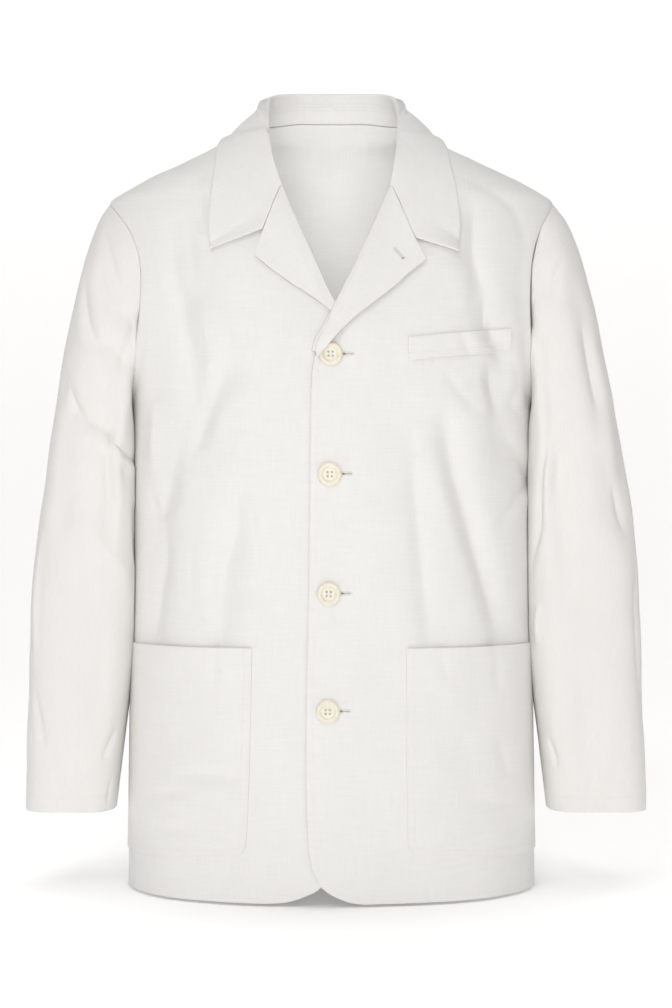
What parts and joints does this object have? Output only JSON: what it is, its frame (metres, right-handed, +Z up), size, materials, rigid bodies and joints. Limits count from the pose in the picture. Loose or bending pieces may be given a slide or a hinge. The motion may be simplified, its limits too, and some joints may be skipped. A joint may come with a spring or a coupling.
{
  "type": "blazer",
  "caption": "Hollow, single-breasted, unlined linen blazer with a notched collar, short lapels, long set-in sleeves, patch pockets and a breast pocket welt.",
  "frame": {"origin": "middle of the neck opening, level with the high points of the shoulder seams, where the wearer's neck and shoulders hold the blazer", "axes": "+Z up, the front faces -Y, and +X is the wearer's left"},
  "size_m": [0.6104, 0.2651, 0.7987],
  "materials": {
    "linen": "matt off-white linen in a plain weave",
    "button_horn": "cream horn-look, polished"
  },
  "bodies": {
    "root": {"back": "linen", "front_left": "linen", "front_right": "linen", "lapel_left": "linen", "lapel_right": "linen", "collar": "linen", "sleeve_left": "linen", "sleeve_right": "linen", "pocket_left": "linen", "pocket_right": "linen", "chest_welt": "linen", "button_1": "button_horn", "button_2": "button_horn", "button_3": "button_horn", "button_4": "button_horn"}
  },
  "joints": []
}
